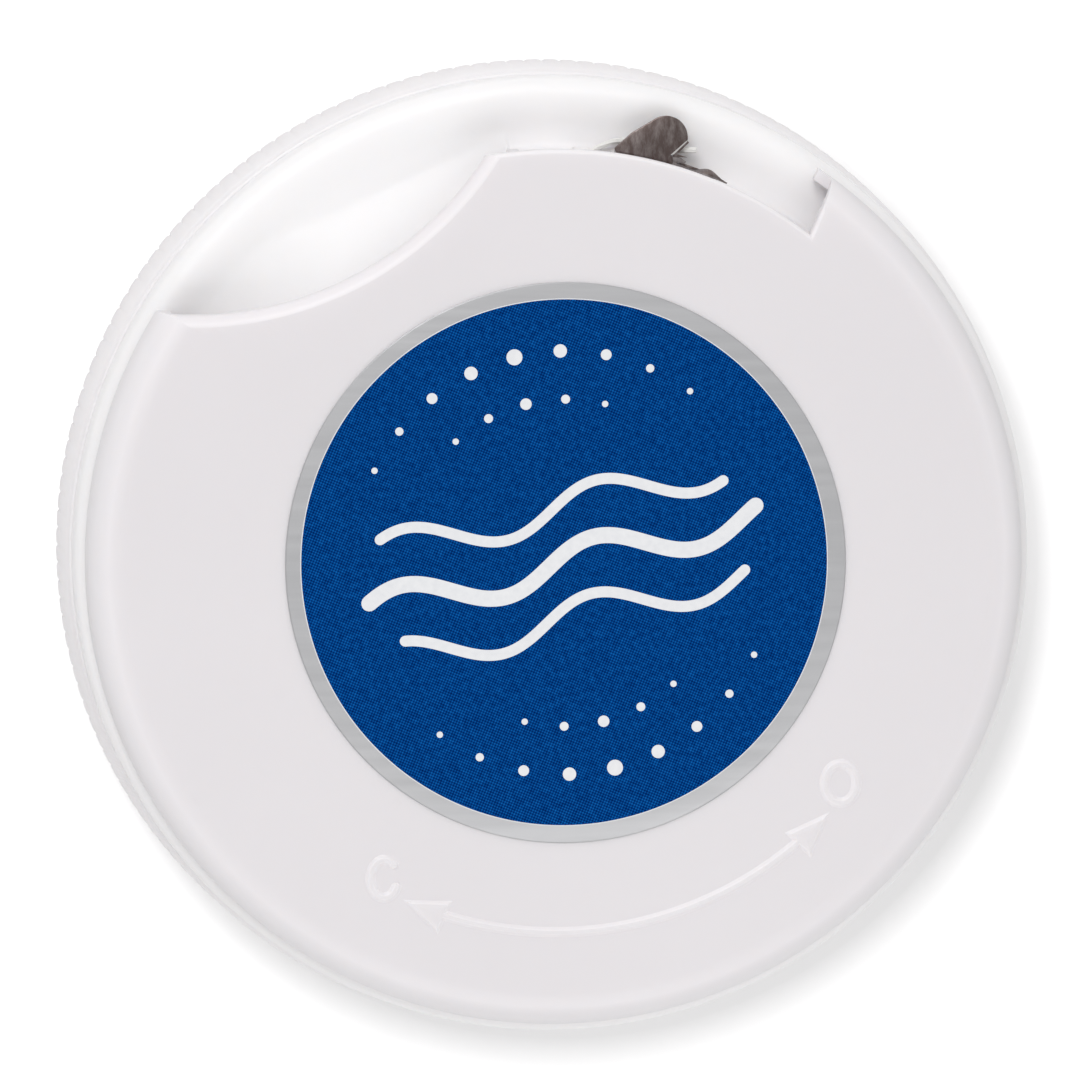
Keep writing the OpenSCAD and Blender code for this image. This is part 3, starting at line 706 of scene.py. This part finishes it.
def rounded_ends(columns):
    """Lets a stroke sink away at both ends."""
    def ends(column, nearby):
        middle = [sum(p[i] for p in column[:-1]) / (len(column) - 1) for i in (0, 1)]
        away = [middle[i] - sum(p[i] for p in nearby[:-1]) / (len(nearby) - 1) for i in (0, 1)]
        n = math.hypot(*away)
        extra = []
        for angle in (30, 55, 75, 90):
            size, reach = math.cos(math.radians(angle)), math.sin(math.radians(angle)) * stroke_half
            extra.append([
                (middle[0] + (x - middle[0]) * size + away[0] / n * reach,
                 middle[1] + (y - middle[1]) * size + away[1] / n * reach,
                 face_z + (z - face_z) * (size if z > face_z else 1))
                for x, y, z in column
            ])
        return extra
    return ends(columns[0], columns[1])[::-1] + columns + ends(columns[-1], columns[-2])


def arrow_head(name, tip_a, r, turn, length=2.4, half_w=0.95):
    """A flat-topped triangle with soft flanks, its tip at an angle on the arrow's arc."""
    c, s = polar(1, tip_a)
    tip = Vector((r * c, r * s))
    back = Vector((s, -c)) * turn
    side = Vector((c, s))
    base = tip + back * length
    corners = [tip, base + side * half_w, base - side * half_w]
    sides = [(corners[(i + 1) % 3] - corners[(i + 2) % 3]).length for i in range(3)]
    middle = sum((corner * d for corner, d in zip(corners, sides)), Vector((0, 0))) / sum(sides)
    inner_r = length * half_w * 2 / sum(sides)
    rows = [(flank_out, -sunk)] + flank + [(-0.3, mark_h + 0.02)]
    outline = []
    for i in range(3):
        for k in range(12):
            outline.append(corners[i].lerp(corners[(i + 1) % 3], k / 12))
    columns = []
    for point in outline:
        column = [(middle.x, middle.y, face_z - sunk)]
        for out, rise in rows:
            p = middle + (point - middle) * (inner_r + out) / inner_r
            column.append((p.x, p.y, face_z + rise))
        column.append((middle.x, middle.y, face_z + mark_h + 0.05))
        columns.append(column)
    return laid(name, columns)


arrow_r = 23.2
turn_range = 80.5
close_a = open_a - turn_range
tail_a = close_a + 5
point_a = open_a - 5.4
head_a = 5.4
shaft_from = tail_a + head_a
shaft_to = point_a - head_a
shaft_columns = []
for i in range(97):
    c, s = polar(1, shaft_from + (shaft_to - shaft_from) * i / 96)
    shaft_columns.append(stroke_column(arrow_r * c, arrow_r * s, c, s))
marks = [
    oval_mark("open_mark", open_a, mark_r, 1.0, 1.22, 0, 360),
    oval_mark("close_mark", close_a, mark_r, 0.84, 1.18, 42, 338),
    laid("arrow_shaft", rounded_ends(shaft_columns), closed=False),
    arrow_head("arrow_tail", tail_a, arrow_r, -1),
    arrow_head("arrow_point", point_a, arrow_r, 1),
]
for mark in marks:
    combined(cover, "UNION", mark)

# The large face keeps its flat look beside the rounded edges
shaded(cover, 10)
normals = cover.modifiers.new("weighted", "WEIGHTED_NORMAL")
normals.keep_sharp = True
normals.weight = 100
bpy.ops.object.modifier_apply(modifier=normals.name)
# The same white plastic as the deck, given a darker colour, with painted shade on its sides (0.88) and flat
# face (0.915)
shaded_white_cover = moulded_plastic("shaded_white_cover_plastic", (0.865, 0.836, 0.855), 0.42, 0.88, 0.915)
dressed(cover, shaded_white_cover, "cover", "cover_plastic", "front_cover")

# Label film
# A round self-adhesive label of silver metallised film, stuck a little off centre.
# It is thickest inside its border and thins out towards its cut edge.
film_x, film_y = 0.44, -0.12
film_r = 17.5


def disc(name, x, y, section, steps=192):
    """A round sheet turned from its section about a middle of its own."""
    columns = []
    for i in range(steps):
        c, s = polar(1, 360 * i / steps)
        columns.append([(x + r * c, y + r * s, z) for r, z in section])
    return laid(name, columns, sharp=25)


film_z0 = face_z + 0.004
film_z1 = face_z + 0.145
film_section = [(0, film_z0), (film_r, film_z0), (film_r - 0.08, face_z + 0.06)]
film_section += [(film_r - 1.15, film_z1 - 0.005), (film_r - 1.3, film_z1), (0, film_z1)]
film = disc("label_silver", film_x, film_y, film_section)


def silver_film():
    """Metallised film: a dull mirror with fine rolling streaks and a few soft dents."""
    material, nodes, links, shader, place = painted("metallised_film")
    shader.inputs["Metallic"].default_value = 0.85
    streaks = noise(nodes, links, stretched(nodes, links, place, 35, (90, 1500, 1)), 1, 4)
    tint = blend(nodes, links, streaks, (0.6, 0.6, 0.615), (0.73, 0.73, 0.745))
    links.new(tint.outputs["Color"], shader.inputs["Base Color"])
    spread(nodes, links, streaks, 0.27, 0.37, shader.inputs["Roughness"])
    embossed(nodes, links, noise(nodes, links, place, 420), 0.25, 0.05, shader)
    return material


dressed(film, silver_film(), "cover", "silver_film", "label_film")

# Label print
# A deep blue disc printed on the film with a fine dot screen. White ink makes the
# motif, three waves between rows of dots, and the thin line round the blue.
print_x, print_y = film_x - 0.11, film_y + 0.05
print_r = 16.4
print_z = face_z + 0.18
print_section = [(0, print_z - 0.075), (print_r, print_z - 0.075), (print_r, print_z - 0.02)]
print_section += [(print_r - 0.03, print_z), (print_r - 1, print_z), (0, print_z)]
blue_disc = disc("label_blue", print_x, print_y, print_section)


def screen_print():
    """Blue ink laid down as a fine screen of dots, so it looks woven from close by."""
    material, nodes, links, shader, place = painted("blue_screen_print")
    shader.inputs["Roughness"].default_value = 0.4
    shader.inputs["Specular IOR Level"].default_value = 0
    pitch = 0.165 * MM
    split = nodes.new("ShaderNodeSeparateXYZ")
    links.new(stretched(nodes, links, place, 22, [2 * math.pi / pitch] * 3), split.inputs["Vector"])
    total = noise(nodes, links, place, 3200, 3)
    blotch = nodes.new("ShaderNodeMath")
    blotch.operation = "MULTIPLY_ADD"
    blotch.inputs[1].default_value = 3.0
    blotch.inputs[2].default_value = -1.5
    links.new(total, blotch.inputs[0])
    total = blotch.outputs[0]
    for axis in "XY":
        wave = nodes.new("ShaderNodeMath")
        wave.operation = "SINE"
        links.new(split.outputs[axis], wave.inputs[0])
        added = nodes.new("ShaderNodeMath")
        added.operation = "ADD"
        links.new(total, added.inputs[0])
        links.new(wave.outputs[0], added.inputs[1])
        total = added.outputs[0]
    scaled = nodes.new("ShaderNodeMapRange")
    scaled.inputs["From Min"].default_value = -2.4
    scaled.inputs["From Max"].default_value = 2.4
    links.new(total, scaled.inputs["Value"])
    tint = blend(nodes, links, scaled.outputs["Result"], (0.0, 0.006, 0.06), (0.006, 0.13, 0.45))
    tint.color_ramp.elements.new(0.5).color = (0.0005, 0.038, 0.19, 1)
    links.new(tint.outputs["Color"], shader.inputs["Base Color"])
    return material


dressed(blue_disc, screen_print(), "cover", "blue_print", "label_print")


def ribbon(name, path, half_w):
    """A printed line of even width along a path in mm, with round ends."""
    columns = []
    for i, (x, y) in enumerate(path):
        x0, y0 = path[max(i - 1, 0)]
        x1, y1 = path[min(i + 1, len(path) - 1)]
        n = math.hypot(x1 - x0, y1 - y0)
        columns.append((x, y, -(y1 - y0) / n, (x1 - x0) / n, half_w))
    caps = []
    for (x, y, nx, ny, w), way in ((columns[0], -1), (columns[-1], 1)):
        caps.append([(x + ny * way * w * math.sin(t), y - nx * way * w * math.sin(t), nx, ny, w * math.cos(t))
                     for t in (0.4, 0.8, 1.15, 1.4, 1.55)])
    sections = []
    for x, y, nx, ny, w in caps[0][::-1] + columns + caps[1]:
        left, right = (x + nx * w, y + ny * w), (x - nx * w, y - ny * w)
        section = [(*left, ink_z0), (*left, ink_z1), (*right, ink_z1), (*right, ink_z0)]
        sections.append(section + section[:1])
    return laid(name, capped(sections), closed=False, sharp=30)


ink_z0 = print_z - 0.01
ink_z1 = print_z + 0.008
motif_a = 14
wave_l = 24.8
wave_h = 1.15
wave_gap = 3.4
motif = []
for row, (reach, half_w) in enumerate([(10.8, 0.34), (12.4, 0.5), (10.8, 0.34)]):
    wave_path = []
    for i in range(97):
        along = -reach + 2 * reach * i / 96
        sway = wave_h * math.sin(along / wave_l * 4 * math.pi + row * 0.5)
        x, y = about(motif_a, [(along, (1 - row) * wave_gap + sway)])[0]
        wave_path.append((print_x + x, print_y + y))
    motif.append(ribbon("wave_%d" % row, wave_path, half_w))
dot_rows = [
    (13.2, 12.5, (0.2, 0.26, 0.34, 0.42, 0.5, 0.42, 0.34, 0.26, 0.2)),
    (10.2, 14, (0.2, 0.28, 0.36, 0.28, 0.2)),
]
for row_r, step_a, radii in dot_rows:
    for side in (1, -1):
        for i, r in enumerate(radii):
            x, y = polar(row_r, motif_a + 90 * side + (i - len(radii) // 2) * step_a)
            dot_section = [(0, ink_z0), (r, ink_z0), (r, ink_z1), (0, ink_z1)]
            motif.append(disc("dot", print_x + x, print_y + y, dot_section, steps=24))
line_r = print_r + 0.06
line_z0 = print_z - 0.07
line_z1 = print_z - 0.03
line_section = [(0, line_z0), (line_r, line_z0), (line_r, line_z1), (0, line_z1)]
motif.append(disc("rim_line", print_x, print_y, line_section))
motif = joined(*motif)
motif.name = "label_motif"


def white_ink():
    """Opaque white screen ink, slightly uneven where it lies on the blue."""
    material, nodes, links, shader, place = painted("white_ink")
    shader.inputs["Roughness"].default_value = 0.45
    tint = blend(nodes, links, noise(nodes, links, place, 2400), (0.72, 0.73, 0.76), (0.86, 0.86, 0.87))
    links.new(tint.outputs["Color"], shader.inputs["Base Color"])
    return material


dressed(motif, white_ink(), "cover", None)

# Bobbin
# A flanged spool in natural plastic that turns on the case's spindle. It shows only
# when the dispenser is taken apart.
bobbin_r = 23.1
bobbin_z0 = 1.7
bobbin_z1 = 12.0
flange_t = 0.8
tube_in = 3.57
tube_out = 4.47
core_in = 7.1
core_out = 8.0
web_z = 6.4
spool_section = [(tube_in, bobbin_z0), (tube_out, bobbin_z0), (tube_out, web_z), (core_in, web_z)]
spool_section += [(core_in, bobbin_z0), (bobbin_r - 0.1, bobbin_z0), (bobbin_r, bobbin_z0 + 0.1)]
spool_section += [(bobbin_r, bobbin_z0 + flange_t - 0.1), (bobbin_r - 0.1, bobbin_z0 + flange_t)]
spool_section += [(core_out + 0.2, bobbin_z0 + flange_t), (core_out, bobbin_z0 + flange_t + 0.2)]
spool_section += [(core_out, bobbin_z1 - flange_t - 0.2), (core_out + 0.2, bobbin_z1 - flange_t)]
spool_section += [(bobbin_r - 0.1, bobbin_z1 - flange_t), (bobbin_r, bobbin_z1 - flange_t + 0.1)]
spool_section += [(bobbin_r, bobbin_z1 - 0.1), (bobbin_r - 0.1, bobbin_z1), (core_in, bobbin_z1)]
spool_section += [(core_in, web_z + flange_t), (tube_out, web_z + flange_t)]
spool_section += [(tube_out, bobbin_z1), (tube_in, bobbin_z1)]
spool = spun("floss_spool", spool_section)
natural = moulded_plastic("natural_plastic", (0.78, 0.78, 0.76), 0.45)
dressed(spool, natural, "bobbin", "bobbin_plastic", "floss_bobbin")

# Winding
# About fifty metres of waxed floss, cross-wound on the bobbin. The outer layer's
# turns lie side by side and climb slowly from flange to flange.
wound_r = 21.85
wound_in = core_out + 0.05
wound_z0 = 2.55
wound_h = 8.6
turn_pitch = 0.42
turn_count = int(wound_h / turn_pitch)


def winding_column(a):
    column = [(wound_in, wound_z0)]
    rows = turn_count * 4
    for i in range(rows + 1):
        share = i / rows
        lay = math.sin(math.pi * (share * turn_count + a / 360))
        bulge = 0.5 * (1 - (2 * share - 1) ** 6)
        column.append((wound_r - 0.55 + bulge + 0.05 * abs(lay), wound_z0 + wound_h * share))
    column.append((wound_in, wound_z0 + wound_h))
    c, s = polar(1, a)
    return [(r * c, r * s, z) for r, z in column + column[:1]]


winding = laid("wound_floss", [winding_column(i * 2.5) for i in range(144)])


def waxed_floss():
    """Waxed filaments: fine strands along the turns, with a soft waxy sheen."""
    material, nodes, links, shader, place = painted("waxed_floss")
    shader.inputs["Roughness"].default_value = 0.5
    shader.inputs["Sheen Weight"].default_value = 0.25
    strands = noise(nodes, links, place, 5200, 3)
    tint = blend(nodes, links, strands, (0.76, 0.75, 0.72), (0.9, 0.89, 0.87))
    links.new(tint.outputs["Color"], shader.inputs["Base Color"])
    embossed(nodes, links, strands, 0.3, 0.03, shader)
    return material


floss = waxed_floss()
dressed(winding, floss, "bobbin", "floss", "floss_winding")

# Loose end
# The floss rises from the winding, comes out of the slot, passes under the steel
# tongue and ends just past the notch.
route = [
    (22.4, 121, 7.6), (22.51, 117, 8.0), (22.69, 113, 8.5), (22.91, 109, 9.01),
    (23.3, 106, 9.5), (23.59, 103, 10.0), (23.81, 100.5, 10.49), (23.92, 98, 11.0),
    (23.92, 95.8, 11.4), (23.92, 94, 11.8), (23.92, 92.2, 12.3), (23.92, 90.4, 12.81),
    (23.99, 88.8, 13.09), (24.38, 87.2, 13.21), (25.0, 85.7, 13.21), (25.61, 84.6, 13.21),
    (26.0, 83.2, 13.21), (26.29, 81.6, 13.09), (26.4, 80, 13.09), (26.4, 78, 13.09),
    (26.4, 76, 13.21), (26.51, 74.2, 13.4), (26.69, 72.6, 13.61), (26.9, 71.2, 13.8)
]


def through(points, steps):
    """Points on a smooth curve through a route."""
    line = [points[0]] + points + [points[-1]]
    out = []
    for i in range(1, len(line) - 2):
        p0, p1, p2, p3 = (Vector(line[k]) for k in (i - 1, i, i + 1, i + 2))
        for k in range(steps):
            t = k / steps
            out.append(0.5 * (2 * p1 + (p2 - p0) * t + (2 * p0 - 5 * p1 + 4 * p2 - p3) * t**2
                              + (3 * p1 - p0 - 3 * p2 + p3) * t**3))
    return out + [Vector(points[-1])]


strand_r = 0.175
lobe_h = 0.02
floss_line = through([(*polar(r, a), z) for r, a, z in route], 5)
strand_columns = []
for i, point in enumerate(floss_line):
    along = (floss_line[min(i + 1, len(floss_line) - 1)] - floss_line[max(i - 1, 0)]).normalized()
    side = along.cross(Vector((0, 0, 1))).normalized()
    up = side.cross(along)
    ring = []
    for k in range(24):
        t = 2 * math.pi * k / 24
        lobes = strand_r + lobe_h * math.cos(6 * t + i * 0.35)
        ring.append(tuple(point + (math.cos(t) * side + math.sin(t) * up) * lobes))
    strand_columns.append(ring + ring[:1])
strand = laid("floss_end", capped(strand_columns), closed=False)
dressed(strand, floss, "case", "floss", "floss_strand")

# Floor, light and camera
# The dispenser lies on a white surface. The camera looks down on it, tilted a little
# from the axis towards the thumb scoop.
bpy.ops.object.select_all(action="DESELECT")
bpy.ops.mesh.primitive_plane_add(size=1.2)
floor = bpy.context.active_object
floor.name = "floor"
floor_paint, nodes, links, shader, place = painted("floor_white")
shader.inputs["Base Color"].default_value = (0.88, 0.88, 0.88, 1)
shader.inputs["Roughness"].default_value = 0.9
shader.inputs["Specular IOR Level"].default_value = 0
# Painted shadow: the floor's glow, seen only by the camera, drops to 0.1 in a ring round the dispenser whose
# middle lies off towards the lower right, so the floor shows darker there
glow_with_painted_shadow = nodes.new("ShaderNodeEmission")
glow_with_painted_shadow.inputs["Color"].default_value = (1, 1, 1, 1)
middle = nodes.new("ShaderNodeMapping")
middle.inputs["Location"].default_value = (-1.9 * MM, 1.75 * MM, 0)
links.new(place, middle.inputs["Vector"])
reach = nodes.new("ShaderNodeVectorMath")
reach.operation = "LENGTH"
links.new(middle.outputs["Vector"], reach.inputs[0])
fade = nodes.new("ShaderNodeMapRange")
fade.inputs["From Min"].default_value = 30.5 * MM
fade.inputs["From Max"].default_value = 37.5 * MM
fade.inputs["To Min"].default_value = 0.1
fade.inputs["To Max"].default_value = 1.0
links.new(reach.outputs["Value"], fade.inputs["Value"])
seen = nodes.new("ShaderNodeLightPath")
strength = nodes.new("ShaderNodeMath")
strength.operation = "MULTIPLY"
links.new(seen.outputs["Is Camera Ray"], strength.inputs[0])
links.new(fade.outputs["Result"], strength.inputs[1])
links.new(strength.outputs[0], glow_with_painted_shadow.inputs["Strength"])
total = nodes.new("ShaderNodeAddShader")
links.new(shader.outputs[0], total.inputs[0])
links.new(glow_with_painted_shadow.outputs[0], total.inputs[1])
links.new(total.outputs[0], nodes["Material Output"].inputs["Surface"])
floor.data.materials.append(floor_paint)

world = bpy.data.worlds.new("studio")
bpy.context.scene.world = world
world.use_nodes = True
world_nodes, world_links = world.node_tree.nodes, world.node_tree.links
room_light = world_nodes["Background"]
room_light.inputs["Color"].default_value = (1, 1, 1, 1)
room_light.inputs["Strength"].default_value = 0.51
seen_light = world_nodes.new("ShaderNodeBackground")
seen_light.inputs["Color"].default_value = (1, 1, 1, 1)
seen_light.inputs["Strength"].default_value = 1
world_path = world_nodes.new("ShaderNodeLightPath")
world_mix = world_nodes.new("ShaderNodeMixShader")
world_links.new(world_path.outputs["Is Camera Ray"], world_mix.inputs["Fac"])
world_links.new(room_light.outputs[0], world_mix.inputs[1])
world_links.new(seen_light.outputs[0], world_mix.inputs[2])
world_links.new(world_mix.outputs[0], world_nodes["World Output"].inputs["Surface"])


def softbox(name, place, size, power):
    """A rectangular lamp aimed at the dispenser."""
    lamp = bpy.data.lights.new(name, "AREA")
    lamp.shape = "RECTANGLE"
    lamp.size, lamp.size_y = size
    lamp.energy = power
    holder = bpy.data.objects.new(name, lamp)
    bpy.context.scene.collection.objects.link(holder)
    holder.location = place
    holder.rotation_euler = (Vector((0, 0, 0.01)) - Vector(place)).to_track_quat("-Z", "Y").to_euler()


softbox("key_light", (-0.13, 0.355, 0.47), (0.28, 0.28), 1.6)
softbox("low_light", (0.04, -0.25, 0.28), (0.3, 0.25), 0.4)

tilt = math.radians(7.3)
tilt_a = math.radians(136)
lens_px = 8456
px_per_mm = 15.66
far = lens_px / px_per_mm * MM
turn_axis = Vector((-math.sin(tilt_a), math.cos(tilt_a), 0))
pose = Matrix.Rotation(tilt, 4, turn_axis)
right, up, away = (pose @ Vector(v) for v in ((1, 0, 0), (0, 1, 0), (0, 0, 1)))
target = Vector((0, 0, 1.2 * MM))
target_px = (537.6, 540.6)
frame_px = 1080
shift_x = (frame_px / 2 - target_px[0]) / px_per_mm * MM
shift_y = (target_px[1] - frame_px / 2) / px_per_mm * MM
camera = bpy.data.cameras.new("camera")
camera.sensor_width = 36
camera.lens = lens_px / frame_px * camera.sensor_width
camera.clip_start = 0.01
camera.clip_end = 10
camera_holder = bpy.data.objects.new("camera", camera)
bpy.context.scene.collection.objects.link(camera_holder)
camera_holder.matrix_world = Matrix.Translation(target + away * far + right * shift_x + up * shift_y) @ pose
bpy.context.scene.camera = camera_holder
bpy.context.scene.view_settings.view_transform = "Standard"
